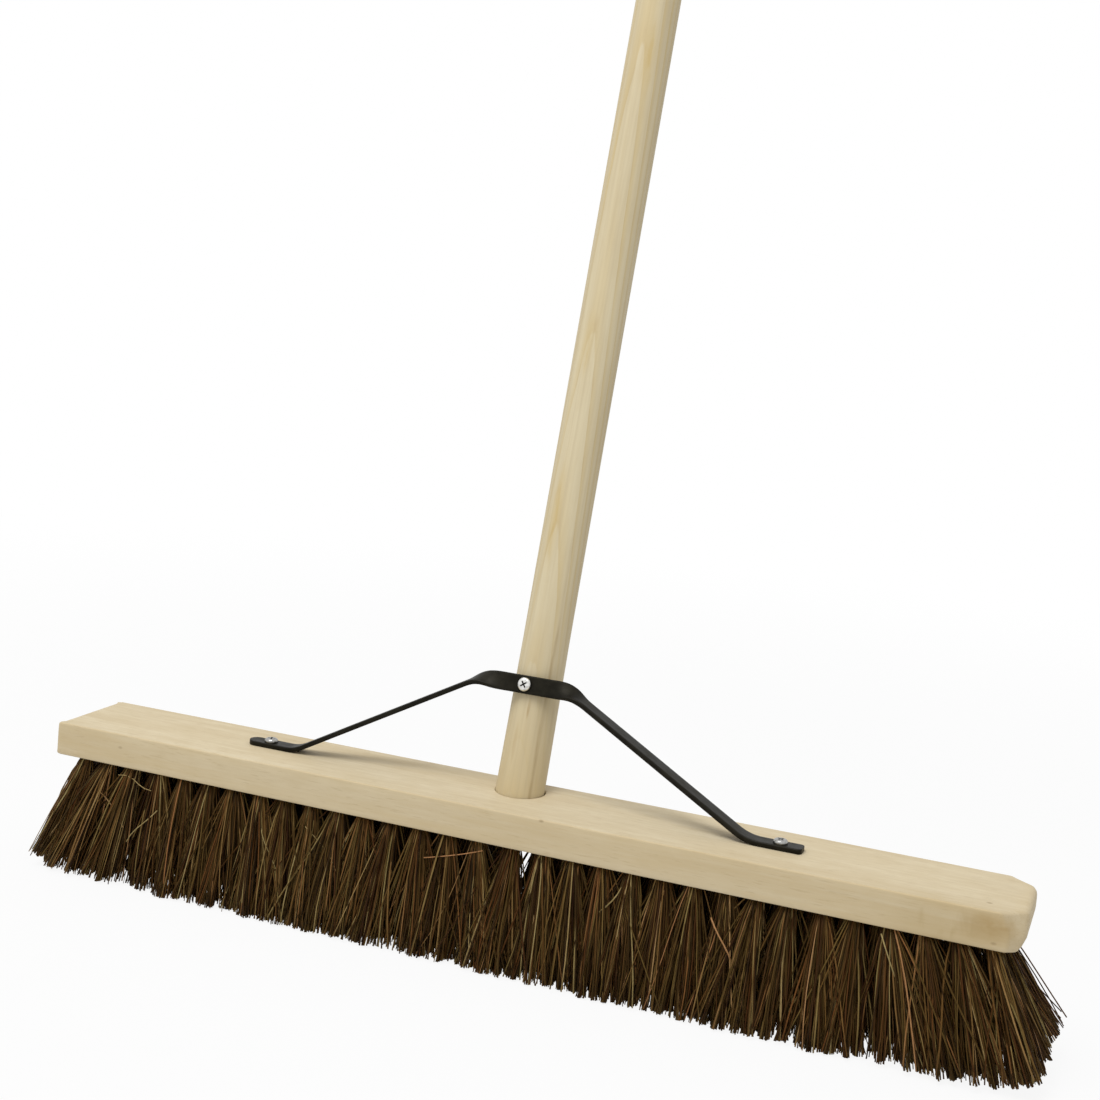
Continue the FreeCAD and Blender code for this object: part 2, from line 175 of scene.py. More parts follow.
def stock_rings():
    """Rings from the socket's floor up its wall, across the top, down the sides and under.

    The socket's rings are circles square to the leaning axis, and those near its mouth
    are level ellipses. The arrises are quarter rounds, wider where the outline faces
    the ends. Every ring starts at the middle of the right end.
    """
    outline, normals = stock_outline(1.0)
    count = len(outline)
    start = np.argmin(np.abs(outline[:, 1]) + 10 * (STOCK_HIGH[0] - outline[:, 0]))
    around = 2 * np.pi * (np.arange(count) - start) / count
    mouth = np.array([SOCKET_OFFSET, SOCKET_BACK, STOCK_TOP])
    rings = []
    for depth in (-SOCKET_BOTTOM, -SOCKET_BOTTOM, -0.5 * SOCKET_BOTTOM):
        circle = np.cos(around)[:, None] * [1, 0, 0] + np.sin(around)[:, None] * HANDLE_BACK
        radius = SOCKET_RADIUS * (1.0 if rings else SOCKET_FLOOR_SHARE)
        rings.append(mouth + HANDLE_AXIS * depth + circle * radius)
    for grow, drop in SOCKET_MOUTH:
        across = SOCKET_RADIUS * grow * np.cos(around)
        back = SOCKET_RADIUS * grow / math.cos(LEAN) * np.sin(around) - drop * math.tan(LEAN)
        rings.append(mouth + np.column_stack([across, back, np.full(count, -drop)]))
    facing = np.clip(np.abs(normals[:, 0]), 0, 1) ** 2
    end_round = np.where(outline[:, 0] > 0, STOCK_END_ROUND["right"], STOCK_END_ROUND["left"])
    round_top = STOCK_ARRIS + (end_round - STOCK_ARRIS) * facing
    round_foot = STOCK_ARRIS + STOCK_FOOT_ROUND * facing
    for inset in TOP_INSETS:
        rings.append(stock_ring(STOCK_TOP, round_top * inset))
    for turn in np.radians((0, 22, 45, 68, 90)):
        ring = stock_ring(STOCK_TOP, round_top * (1 - np.sin(turn)))
        ring[:, 2] -= round_top * (1 - np.cos(turn))
        rings.append(ring)
    side_top = STOCK_TOP - 1.5 * max(STOCK_END_ROUND.values())
    for height in np.linspace(side_top, STOCK_BOTTOM + 3 * MM, 6):
        rings.append(stock_ring(height, np.zeros(count)))
    for turn in np.radians((90, 60, 30, 0)):
        ring = stock_ring(STOCK_BOTTOM, round_foot * (1 - np.sin(turn)))
        ring[:, 2] += round_foot * (1 - np.cos(turn))
        rings.append(ring)
    for inset in UNDER_INSETS:
        rings.append(stock_ring(STOCK_BOTTOM, round_foot * inset))
    return np.array(rings)[None]


class Signal:
    """One output of a node. Sums, differences and products of signals add Math nodes."""

    def __init__(self, tree, socket):
        self.tree = tree
        self.socket = socket

    def node(self, kind, settings, inputs, output=0):
        """Adds any node: its settings or ramp stops, then values or links of its sockets."""
        made = self.tree.nodes.new(kind)
        for key, value in settings.items():
            if key == "stops":
                for place, tone in value[2:]:
                    made.color_ramp.elements.new(place)
                for element, (place, tone) in zip(made.color_ramp.elements, value):
                    element.position = place
                    element.color = (*tone, 1.0)
            else:
                setattr(made, key, value)
        for key, value in inputs.items():
            if isinstance(value, Signal):
                self.tree.links.new(value.socket, made.inputs[key])
            else:
                made.inputs[key].default_value = value
        return Signal(self.tree, made.outputs[output])

    def math(self, operation, *values):
        """One Math node on values. The signal itself is among them only if given."""
        return self.node("ShaderNodeMath", {"operation": operation}, dict(enumerate(values)))

    def __add__(self, other):
        return self.math("ADD", self, other)

    def __sub__(self, other):
        return self.math("SUBTRACT", self, other)

    def __rsub__(self, other):
        return self.math("SUBTRACT", other, self)

    def __mul__(self, other):
        return self.math("MULTIPLY", self, other)

    __radd__ = __add__
    __rmul__ = __mul__

    def fade(self, low, high):
        """0 up to low, 1 from high, and smooth between them."""
        inputs = {"Value": self, "From Min": low, "From Max": high}
        return self.node("ShaderNodeMapRange", {"interpolation_type": "SMOOTHSTEP"}, inputs)

    def mix(self, first, second):
        """A colour that goes from first to second as this signal goes from 0 to 1."""
        return self.node("ShaderNodeMix", {"data_type": "RGBA"}, {0: self, 6: first, 7: second}, 2)

    def noise(self, stretch, detail=3.0, roughness=0.5, distortion=0.0):
        """Noise on this vector, with so many patches to the metre along X, Y and Z."""
        placed = self.node("ShaderNodeMapping", {}, {"Vector": self, "Scale": stretch})
        inputs = {"Vector": placed, "Scale": 1.0, "Detail": detail, "Roughness": roughness,
                  "Distortion": distortion}
        return self.node("ShaderNodeTexNoise", {}, inputs)

    def axis(self, number):
        """This vector's X, Y or Z."""
        return self.node("ShaderNodeSeparateXYZ", {}, {"Vector": self}, number)

    def near(self, centre, stretch):
        """The distance from a centre on this vector, with each axis stretched."""
        offset = tuple(-c * s for c, s in zip(centre, stretch))
        inputs = {"Vector": self, "Scale": stretch, "Location": offset}
        placed = self.node("ShaderNodeMapping", {}, inputs)
        return self.node("ShaderNodeVectorMath", {"operation": "LENGTH"}, {0: placed}, 1)


def new_finish(name, roughness, specular=0.5):
    """A material with its shader, and the Object coordinates that its pattern reads."""
    material = bpy.data.materials.new(name)
    material.use_nodes = True
    tree = material.node_tree
    shader = tree.nodes["Principled BSDF"]
    shader.inputs["Roughness"].default_value = roughness
    shader.inputs["Specular IOR Level"].default_value = specular
    coordinates = tree.nodes.new("ShaderNodeTexCoord")
    return material, shader, Signal(tree, coordinates.outputs["Object"])


def lay(shader, colour=None, roughness=None, bump=None, depth=0.0):
    """Links a finish's colour, roughness and relief, with the relief's depth in metres."""
    tree = shader.id_data
    if colour is not None:
        tree.links.new(colour.socket, shader.inputs["Base Color"])
    if roughness is not None:
        tree.links.new(roughness.socket, shader.inputs["Roughness"])
    if bump is not None:
        inputs = {"Height": bump, "Distance": depth, "Strength": 1.0}
        relief = bump.node("ShaderNodeBump", {}, inputs)
        tree.links.new(relief.socket, shader.inputs["Normal"])


def stock_wood():
    """Pale hardwood: long soft streaks, fine fibre lines, short pores and a few dark flecks.

    The front is browner side grain and is also painted a shade darker than the top
    as painted shade, with a stain and crossing bands near the right end, and the end grain is
    darker.
    """
    material, shader, place = new_finish("stock_wood", 0.62, 0.25)
    streaks = place.noise((6, 120, 120), 4, 0.55, 0.4).fade(0.32, 0.70)
    clouds = place.noise((9, 26, 26), 3, 0.5).fade(0.35, 0.68)
    mottle = place.noise((60, 130, 130), 3, 0.6).fade(0.35, 0.70)
    fibre = place.noise((34, 620, 620), 4, 0.62).fade(0.28, 0.72)
    pores = place.noise((95, 1250, 1250), 2, 0.5).fade(0.60, 0.70)
    colour = streaks.mix((0.67, 0.575, 0.40, 1), (0.595, 0.49, 0.315, 1))
    colour = (clouds * 0.55).mix(colour, (0.71, 0.615, 0.43, 1))
    colour = (mottle * 0.30).mix(colour, (0.56, 0.45, 0.27, 1))
    colour = (fibre * 0.26).mix(colour, (0.52, 0.405, 0.235, 1))
    colour = (pores * 0.32).mix(colour, (0.38, 0.28, 0.15, 1))
    end_grain = place.axis(0).fade(0.291, 0.300)
    colour = (end_grain * 0.32).mix(colour, (0.585, 0.46, 0.265, 1))
    # Painted shade: the front face is coloured a shade darker than the top, besides its browner
    # side grain.
    front_grain_and_shade = place.axis(1).fade(-0.0308, -0.0322)
    colour = (front_grain_and_shade * (0.30 + streaks * 0.25)).mix(colour, (0.61, 0.475, 0.265, 1))
    end_stain = place.near((0.283, -0.0335, 0.0865), (60, 60, 100)).fade(1.15, 0.35)
    colour = (end_stain * (0.62 + mottle * 0.45)).mix(colour, (0.46, 0.325, 0.15, 1))
    brown_end = place.near((0.262, -0.0335, 0.084), (26, 70, 55)).fade(1.1, 0.35)
    colour = (brown_end * (0.20 + streaks * 0.25)).mix(colour, (0.49, 0.365, 0.18, 1))
    bands = place.noise((120, 20, 34), 2, 0.5, 0.5).fade(0.46, 0.62)
    band_reach = place.near((0.262, -0.0335, 0.086), (48, 70, 90)).fade(1.0, 0.3)
    colour = (band_reach * bands * 0.8).mix(colour, (0.46, 0.335, 0.165, 1))
    flecks = [((0.2805, -0.020, 0.096), 1.7, 0.55), ((0.031, -0.0325, 0.0953), 1.6, 0.5),
              ((-0.2535, -0.0325, 0.0875), 1.6, 0.35), ((0.286, -0.0325, 0.0790), 1.6, 0.4)]
    for centre, size, strength in flecks:
        reach = 1 / (size * MM)
        spot = place.near(centre, (reach * 0.7, reach, reach * 1.3)).fade(1.0, 0.2)
        colour = (spot * strength).mix(colour, (0.24, 0.15, 0.07, 1))
    lay(shader, colour, 0.56 + fibre * 0.14, fibre * 0.6 + (1 - pores) * 0.5, 0.00004)
    return material


stock = skin("stock_plank", stock_rings(), stock_wood())
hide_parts("stock")

# ---- handle ----
# A turned softwood pole of 28 mm. Its butt is left a little thicker and driven
# into the socket, and its top end is rounded over for the hand.
HANDLE_SIDES = 96
HANDLE_RADIUS = 14.1 * MM
BUTT_RADIUS = 14.75 * MM
BUTT_TAPER = 90.0 * MM
BUTT_END_SHARE = 0.96
BUTT_GAP = 0.2 * MM
BUTT_CHAMFER = 1.3 * MM
HANDLE_DOME = 9.0 * MM
HANDLE_CROWN = HANDLE_RADIUS - HANDLE_DOME
HANDLE_STEP = 30.0 * MM
HANDLE_FOOT = np.array([0.0, SOCKET_BACK, STOCK_TOP])
dome_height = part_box("handle")[1][2] - STOCK_TOP - HANDLE_DOME - HANDLE_CROWN * math.sin(LEAN)
HANDLE_TOP = dome_height / math.cos(LEAN) + HANDLE_DOME
RING_WIDTH = 4.0 * MM
RING_STRETCH = 1.58
RING_START = (0.060, 0.090)
RING_PHASE = 20.12
SEAM_PLACE = 10.2 * MM


def handle_rings():
    """A profile of (radius, height) turned about the leaning axis, and closed at both ends."""
    profile = [(BUTT_RADIUS * BUTT_END_SHARE, -SOCKET_BOTTOM + BUTT_GAP),
               (BUTT_RADIUS, -SOCKET_BOTTOM + BUTT_GAP + BUTT_CHAMFER),
               (BUTT_RADIUS, 0.0), (HANDLE_RADIUS, BUTT_TAPER)]
    shoulder = HANDLE_TOP - HANDLE_DOME - 2 * MM
    for height in np.arange(BUTT_TAPER + HANDLE_STEP, shoulder, HANDLE_STEP):
        profile.append((HANDLE_RADIUS, height))
    for turn in np.radians(np.arange(0, 91, 10)):
        radius = HANDLE_CROWN + HANDLE_DOME * math.cos(turn)
        profile.append((radius, HANDLE_TOP - HANDLE_DOME * (1 - math.sin(turn))))
    profile.append((0.5 * HANDLE_CROWN, HANDLE_TOP))
    radii, heights = np.array(profile).T
    around = np.linspace(0, 2 * np.pi, HANDLE_SIDES, endpoint=False)
    circle = np.cos(around)[:, None] * [1, 0, 0] + np.sin(around)[:, None] * HANDLE_BACK
    rings = HANDLE_FOOT + HANDLE_AXIS * heights[:, None, None] + circle * radii[:, None, None]
    return rings[None]


def handle_wood():
    """Pine: growth rings that run out at the front as long pointed flames, one inside another.

    A ring's number is the depth behind the front, in ring widths, plus the
    logarithm of the height, so the points of the flames stand further apart
    higher up, plus the square of the way sideways. Just above each point the wood
    is orange, and below it is pale. Greyish streaks and a few orange patches of
    resin lie over the rings, and a seam and two brown streaks mark the foot.
    """
    material, shader, place = new_finish("handle_wood", 0.55, 0.3)
    turned_foot = Matrix.Rotation(LEAN, 3, "X") @ Vector(HANDLE_FOOT)
    upright = place.node("ShaderNodeMapping", {}, {
        "Vector": place, "Rotation": (LEAN, 0, 0), "Location": tuple(-turned_foot)})
    across, depth, along = (upright.axis(number) for number in range(3))
    waver = upright.noise((70, 70, 7), 3, 0.5) - 0.5
    sway = upright.noise((1, 1, 4.5), 2, 0.5) - 0.5
    off_heart = across + 0.001 - sway * 0.006
    climb = (along + RING_START[0]) * (1 / RING_START[1])
    climb = climb.math("MAXIMUM", climb, 0.05)
    number = climb.math("LOGARITHM", climb, RING_STRETCH)
    number = number + depth * (1 / RING_WIDTH) + off_heart * off_heart * 900 + waver * 0.75
    ring = number.math("FRACT", number + HANDLE_RADIUS / RING_WIDTH + RING_PHASE)
    clear = along.fade(0.05, 0.14) * 0.75 + 0.25
    orange = ring.fade(0.62, 0.02) * ring.fade(0.0, 0.03) * clear
    line = ring.fade(0.16, 0.03) * ring.fade(0.0, 0.04) * clear
    fibre = upright.noise((700, 700, 12), 4, 0.6).fade(0.25, 0.75)
    clouds = upright.noise((35, 35, 5), 3, 0.5).fade(0.3, 0.7)
    blots = upright.noise((240, 240, 34), 3, 0.6).fade(0.42, 0.68)
    # Darker and more orange over the lowest 75 mm of the handle, towards its foot.
    darker_towards_foot = along.fade(0.075, 0.0)
    colour = clouds.mix((0.680, 0.590, 0.395, 1), (0.615, 0.520, 0.335, 1))
    colour = (orange * (0.36 + clouds * 0.42)).mix(colour, (0.585, 0.445, 0.205, 1))
    colour = (line * (0.12 + blots * 0.40)).mix(colour, (0.48, 0.35, 0.175, 1))
    colour = (darker_towards_foot * 0.45).mix(colour, (0.63, 0.50, 0.275, 1))
    colour = (blots * 0.20).mix(colour, (0.55, 0.44, 0.255, 1))
    grey_streaks = upright.noise((330, 330, 5), 3, 0.6, 0.3).fade(0.44, 0.68)
    colour = (grey_streaks * 0.34).mix(colour, (0.505, 0.415, 0.265, 1))
    resin = [((-0.0017, 0, 0.273), (240, 0, 42)), ((-0.0034, 0, 0.165), (230, 0, 27)),
             ((0.0048, 0, 0.455), (180, 0, 34))]
    for centre, stretch in resin:
        patch = upright.near(centre, stretch).fade(1.1, 0.15)
        colour = (patch * (0.30 + blots * 0.45)).mix(colour, (0.56, 0.41, 0.165, 1))
    colour = (fibre * 0.22).mix(colour, (0.52, 0.415, 0.24, 1))
    side_line = across - SEAM_PLACE + waver * 0.004
    side_line = side_line.math("ABSOLUTE", side_line)
    in_front = depth.fade(0.0, -0.004)
    seam = side_line.fade(0.0013, 0.0) * in_front * along.fade(0.14, 0.07)
    colour = (seam * (0.3 + blots * 0.4)).mix(colour, (0.40, 0.29, 0.15, 1))
    foot_streak = upright.near((-0.0035, 0, 0.028), (620, 0, 62)).fade(1.0, 0.3)
    knot_streak = upright.near((0.0015, 0, 0.050), (900, 0, 110)).fade(1.0, 0.3)
    streaks = (foot_streak + knot_streak) * in_front * (0.25 + blots * 0.5)
    colour = streaks.mix(colour, (0.42, 0.29, 0.14, 1))
    lay(shader, colour, 0.50 + fibre * 0.12, fibre * 0.5 + line * 0.3, 0.00004)
    return material


handle = skin("handle_pole", handle_rings(), handle_wood())
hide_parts("handle")

# ---- stay ----
# One flat mild steel strip, sheared, bent, twisted a quarter turn on each side of
# its middle plate, and dipped in black. Screws hold it to the handle and stock.
STAY_WIDTH = 11.0 * MM
STAY_THICKNESS = 3.0 * MM
STAY_EDGE = 0.8 * MM
STAY_BENDS = {"left": (31.0 * MM, 147.0 * MM), "right": (26.0 * MM, 143.5 * MM)}
STAY_BEND_RADII = {"left": (22.0 * MM, 22.0 * MM), "right": (22.0 * MM, 30.0 * MM)}
STAY_TIP_ROUND = {"left": 5.48 * MM, "right": 2.5 * MM}
STAY_PLATE = 12.0 * MM
STAY_SPACING = 1.5 * MM
LAST_SPACING = 0.3
STAY_TWIST = {"left": 10.0 * MM, "right": 13.0 * MM}
STAY_RISE = 63.0 * MM
STAY_STANDOFF = HANDLE_RADIUS + 0.35 * MM + STAY_THICKNESS / 2
STAY_LOW, STAY_HIGH = (np.array(corner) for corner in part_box("stay"))
STAY_MIDDLE = HANDLE_FOOT + HANDLE_AXIS * STAY_RISE - HANDLE_BACK * STAY_STANDOFF


def bent_line(corners, radii, spacing):
    """Points and directions along straight runs joined by arcs that touch both runs.

    On an arc the point is the centre plus the radius times a direction that turns
    from square to the arriving run to square to the leaving run.
    """
    points, directions = [], []
    start = corners[0]
    for before, corner, after, radius in zip(corners, corners[1:], corners[2:], radii):
        arriving = (corner - before) / np.linalg.norm(corner - before)
        leaving = (after - corner) / np.linalg.norm(after - corner)
        turn = math.acos(arriving @ leaving)
        inwards = (leaving - arriving) / np.linalg.norm(leaving - arriving)
        centre = corner + inwards * radius / math.cos(turn / 2)
        arc_start = corner - arriving * radius * math.tan(turn / 2)
        spoke = (arc_start - centre) / radius
        steps = max(2, round(np.linalg.norm(arc_start - start) / spacing))
        run = np.linspace(0, 1, steps, endpoint=False)
        points.append(start + (arc_start - start) * run[:, None])
        directions.append(np.repeat(arriving[None], steps, 0))
        steps = max(4, round(turn * radius / spacing))
        angle = turn * np.linspace(0, 1, steps, endpoint=False)[:, None]
        points.append(centre + radius * (spoke * np.cos(angle) + arriving * np.sin(angle)))
        directions.append(arriving * np.cos(angle) - spoke * np.sin(angle))
        start = corner + leaving * radius * math.tan(turn / 2)
    run = np.linspace(0, 1, round(np.linalg.norm(corners[-1] - start) / (LAST_SPACING * spacing)))
    points.append(start + (corners[-1] - start) * run[:, None])
    directions.append(np.repeat(leaving[None], len(run), 0))
    return np.concatenate(points), np.concatenate(directions)


def stay_half(side):
    """Rings of the strip's rounded rectangle from the plate's middle out to one foot.

    The rectangle's width starts along the handle and eases down to level over the
    twist; at the foot's end it narrows along a round corner.
    """
    outwards = -1.0 if side == "left" else 1.0
    upper, lower = STAY_BENDS[side]
    end = STAY_LOW[0] if side == "left" else STAY_HIGH[0]
    screw_low, screw_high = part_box(f"stay_foot_screw_{side}")
    foot_y = (screw_low[1] + screw_high[1]) / 2
    foot_z = STOCK_TOP + STAY_THICKNESS / 2
    corners = [STAY_MIDDLE, np.array([outwards * upper, STAY_MIDDLE[1], STAY_MIDDLE[2]]),
               np.array([outwards * lower, foot_y, foot_z]), np.array([end, foot_y, foot_z])]
    points, along = bent_line(corners, STAY_BEND_RADII[side], STAY_SPACING)
    travelled = np.concatenate([[0], np.cumsum(np.linalg.norm(np.diff(points, axis=0), axis=1))])
    twist_end = upper + STAY_TWIST[side]
    share = np.clip((travelled - STAY_PLATE) / (twist_end - STAY_PLATE), 0, 1)
    twist = (np.pi / 2 - LEAN) * (1 - share * share * (3 - 2 * share))
    back = np.array([0.0, 1.0, 0.0])
    level = back - along * (along @ back)[:, None]
    level /= np.linalg.norm(level, axis=1, keepdims=True)
    rising = np.cross(along, level) * outwards
    wide = level * np.cos(twist)[:, None] + rising * np.sin(twist)[:, None]
    thick = np.cross(along, wide) * outwards
    corner = STAY_TIP_ROUND[side]
    left_over = np.clip(travelled[-1] - travelled, 0, corner)
    pinch = corner - np.sqrt(np.maximum(corner ** 2 - (corner - left_over) ** 2, 0))
    half = np.array([STAY_WIDTH, STAY_THICKNESS]) / 2
    rectangle = half * [(-1, -1), (1, -1), (1, 1), (-1, 1)]
    section, _ = rounded_outline(rectangle, np.full(4, STAY_EDGE), 5, (8, 2, 8, 2))
    narrow = 1 - pinch / half[0]
    return (points[:, None] + wide[:, None] * (section[:, 0] * narrow[:, None])[..., None]
            + thick[:, None] * section[:, 1][None, :, None])


def black_dip():
    """Satin black over rolled steel: faint draw lines, dust and a few rubbed patches."""
    material, shader, place = new_finish("black_dip", 0.42, 0.12)
    shader.inputs["Specular Tint"].default_value = (1.0, 0.93, 0.76, 1.0)
    drag = place.noise((60, 500, 500), 3, 0.6).fade(0.3, 0.7)
    dust = place.noise((90, 90, 90), 4, 0.6).fade(0.4, 0.75)
    colour = dust.mix((0.0050, 0.0045, 0.0033, 1), (0.017, 0.0155, 0.0105, 1))
    colour = (drag * 0.35).mix(colour, (0.015, 0.0135, 0.009, 1))
    lay(shader, colour, 0.36 + dust * 0.16 + drag * 0.05, drag * 0.5 + dust * 0.5, 0.00006)
    return material


stay_rings = np.concatenate([stay_half("left")[::-1], stay_half("right")[1:]])
stay = skin("stay_strip", stay_rings[None], black_dip())
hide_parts("stay")

# ---- screws ----
# Three pan-head cross-recess wood screws, cold-headed from wire and zinc plated,
# one through the stay into the handle and one through each foot into the stock.
SCREW_HEAD_HEIGHT = 2.4 * MM
RECESS_REACH = 2.35 * MM
ZINC_TINTS = [(1.0, 1.0, 0.96), (0.66, 0.65, 0.62)]
# Painted light and shade: the same zinc is coloured brighter on the handle screw and darker on the
# foot screws.
HANDLE_SCREW_PAINTED_BRIGHTNESS = 0.86
FOOT_SCREW_PAINTED_BRIGHTNESS = 0.42
handle_screw_x = float(sum(corner[0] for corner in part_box("stay_handle_screw")) / 2)
HANDLE_SCREW_SEAT = STAY_MIDDLE - HANDLE_BACK * STAY_THICKNESS / 2 + [handle_screw_x, 0, 0]


def bright_zinc(name, seat, tilt, painted_brightness):
    """Bright zinc plate with a little haze, and painted shade: near black in the cross recess
    and dark round the foot of the head.

    Seen from the seat along the screw's own axis, the recess's painted shade is all that lies
    near the axis and below the top of the head. The last argument scales the clean plate's
    colour, so the same zinc is painted brighter or darker as painted light and shade.
    """
    material, shader, place = new_finish(name, 0.3, 0.5)
    shader.inputs["Metallic"].default_value = 1.0
    turned_seat = Matrix.Rotation(tilt, 3, "X") @ Vector(seat)
    own = place.node("ShaderNodeMapping", {}, {
        "Vector": place, "Rotation": (tilt, 0, 0), "Location": tuple(-turned_seat)})
    haze = place.noise((700, 700, 700), 3, 0.6).fade(0.3, 0.7)
    clean, dull = ((*(painted_brightness * share for share in tint), 1) for tint in ZINC_TINTS)
    colour = haze.mix(clean, dull)
    rise = own.axis(2)
    sunk = rise.fade(SCREW_HEAD_HEIGHT - 0.15 * MM, SCREW_HEAD_HEIGHT - 0.5 * MM)
    reach = own.near((0, 0, 0), (1, 1, 0))
    inside = reach.fade(RECESS_REACH + 0.1 * MM, RECESS_REACH - 0.1 * MM)
    # Painted shade: the lower edge of the head is darkened where it meets its seat.
    head_foot_shade = reach.fade(3.1 * MM, 3.9 * MM) * rise.fade(1.3 * MM, 0.3 * MM)
    # Painted shade: the cross recess is coloured near black, as the shade that falls in it.
    recess_shade = sunk * inside
    colour = (recess_shade * 0.94).mix(colour, (0.012, 0.011, 0.009, 1))
    colour = (head_foot_shade * 0.8).mix(colour, (0.05, 0.045, 0.035, 1))
    lay(shader, colour, 0.24 + haze * 0.16 + recess_shade * 0.3, haze, 0.00002)
    return material


handle_screw = (HANDLE_SCREW_SEAT.tolist(), LEAN - math.pi / 2, HANDLE_SCREW_PAINTED_BRIGHTNESS)
screws = {"stay_handle_screw": handle_screw}
for side in ("left", "right"):
    screw_low, screw_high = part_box(f"stay_foot_screw_{side}")
    middle = (screw_low + screw_high) / 2
    seat = (middle[0], middle[1], screw_high[2] - SCREW_HEAD_HEIGHT)
    screws[f"stay_foot_screw_{side}"] = (seat, 0.0, FOOT_SCREW_PAINTED_BRIGHTNESS)
for name, (seat, tilt, painted_brightness) in screws.items():
    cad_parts[name].data.materials.clear()
    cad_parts[name].data.materials.append(bright_zinc(f"zinc_{name}", seat, tilt, painted_brightness))

# ---- staples ----
# A U of plain steel wire over the fold of every tuft, driven up into the hole's
# end. They are the construction model's own, given a finish.


def plain_wire():
    """Drawn steel wire, grey and slightly dull."""
    material, shader, place = new_finish("plain_wire", 0.4, 0.5)
    shader.inputs["Metallic"].default_value = 1.0
    grain = place.noise((900, 900, 900), 2, 0.5).fade(0.3, 0.7)
    colour = grain.mix((0.50, 0.50, 0.50, 1), (0.36, 0.36, 0.37, 1))
    lay(shader, colour, 0.34 + grain * 0.2, grain, 0.00001)
    return material


wire = plain_wire()
for name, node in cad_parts.items():
    if name.startswith("staples_"):
        node.data.materials.clear()
        node.data.materials.append(wire)

# ---- tufts ----
# Bundles of coarse bassine palm fibre, folded over a staple in holes drilled in
# five rows. They fan out below the stock, splay at its ends and are trimmed level.
FIBRES_PER_TUFT = {"front": 180, "front_inner": 136, "middle": 112,
                   "back_inner": 112, "back": 124}
FIRST_SEED = 40
FIBRE_RINGS = 6
FIBRE_SIDES = 4
FIBRE_RADIUS = (0.26 * MM, 0.56 * MM)
FIBRE_TIP_SHARE = 0.95
FIBRE_FLATNESS = (0.55, 1.0)
ROOT_RADIUS = 3.3 * MM
ROOT_SINK = 3.0 * MM
ROOT_FILL = 0.8
ROOT_LEAN = 0.45
SHEAVES = 7
SHEAF_REACH = np.array([14.5, 8.7]) * MM
SHEAF_NEAREST = 0.5
SHEAF_TURN = 0.2
SHEAF_SPREAD = {"left": 1.9 * MM, "right": 1.7 * MM}
LOOSE_SHARE = 0.31
LOOSE_SPREAD = np.array([12.5, 3.8]) * MM
TUFT_SWAY = np.array([4.6, 0.9]) * MM
BRIGHT_SHARE = 0.14
LOOSE_BRIGHTER = 0.8
BRIGHT_TONES = (0.56, 0.92)
DARK_TONES = (1.6, 2.4)
DARK_TONE_LIMIT = 0.68
CAUGHT_TONE = 0.92
WARMTH_SPREAD = (0.7, 1.5)
FIBRE_BOW = 1.2 * MM
FIBRE_WAVE = 0.45 * MM
ROW_SPREAD = 1.30
SPLAY_START = 197.0 * MM
SPLAY_POWER = 1.7
SPLAY_PAST = {"left": 6.0 * MM, "right": 2.5 * MM}
BRUSH_LIMIT = {"left": np.array([313.5, 328.0, 333.0]) * MM,
               "right": np.array([319.0, 322.0, 324.5]) * MM}
LIMIT_DEPTHS = np.array([-33.0, 0.0, 33.0]) * MM
TIP_REACH = {"front": 45.0 * MM, "back": 38.0 * MM}
LIMIT_NOISE = 0.8 * MM
TIP_CLEARANCE = 0.1 * MM
TRIM_NOISE = 0.15 * MM
FLOOR_CLEARANCE = 0.02 * MM
END_RISE_START = 300.0 * MM
END_RISE = {"left": 0.50, "right": 0.45}
TRIM_ARC = 0.3
SCALLOP = {"left": 0.20, "right": 0.22, "right_end": 0.85}
SCALLOP_TOP = 6.0 * MM
SCALLOP_CHANGE = 60.0 * MM
TUFT_GAP = 9.0 * MM
PLUG_TOP_BAND = 0.05 * MM
# Broken fibres that lie across the front rows, each by its two ends in millimetres.
CAUGHT = {
    "left": [((-255, -31, 69), (-229, -33, 64)), ((-268, -32, 56), (-247, -35, 37)),
             ((-224, -33, 52), (-243, -37, 29)), ((-40, -33, 59), (-4, -31, 70)),
             ((-150, -33, 58), (-136, -36, 33)), ((-96, -35, 40), (-120, -32, 62))],
    "right": [((228, -31, 71), (240, -34, 47)), ((66, -34, 45), (82, -31, 66)),
              ((150, -35, 38), (135, -32, 60))],
}


def tuft_roots(node):
    """The middle of each hole in a row: points at the plugs' tops, parted where a gap is wide."""
    points = np.array([vertex.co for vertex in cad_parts[node].data.vertices])
    tops = points[points[:, 2] > points[:, 2].max() - PLUG_TOP_BAND]
    tops = tops[np.argsort(tops[:, 0])]
    groups = np.split(tops, np.flatnonzero(np.diff(tops[:, 0]) > TUFT_GAP) + 1)
    return np.array([(group.min(0) + group.max(0)) / 2 for group in groups])[:, :2]


def tuft_tips(roots, side):
    """Where the tufts' middles land: rows move apart, and the end tufts splay outwards.

    The splay grows by a power of the way from its start to the row's last hole,
    whose tuft lands a little past the brush's outer limit.
    """
    out, depth = np.abs(roots[:, 0]), roots[:, 1] * ROW_SPREAD
    ramp = np.clip((out - SPLAY_START) / (out.max() - SPLAY_START), 0, None)
    past = np.interp(depth, LIMIT_DEPTHS, BRUSH_LIMIT[side]) + SPLAY_PAST[side] - out.max()
    return np.column_stack([np.sign(roots[:, 0]) * (out + past * ramp ** SPLAY_POWER), depth])


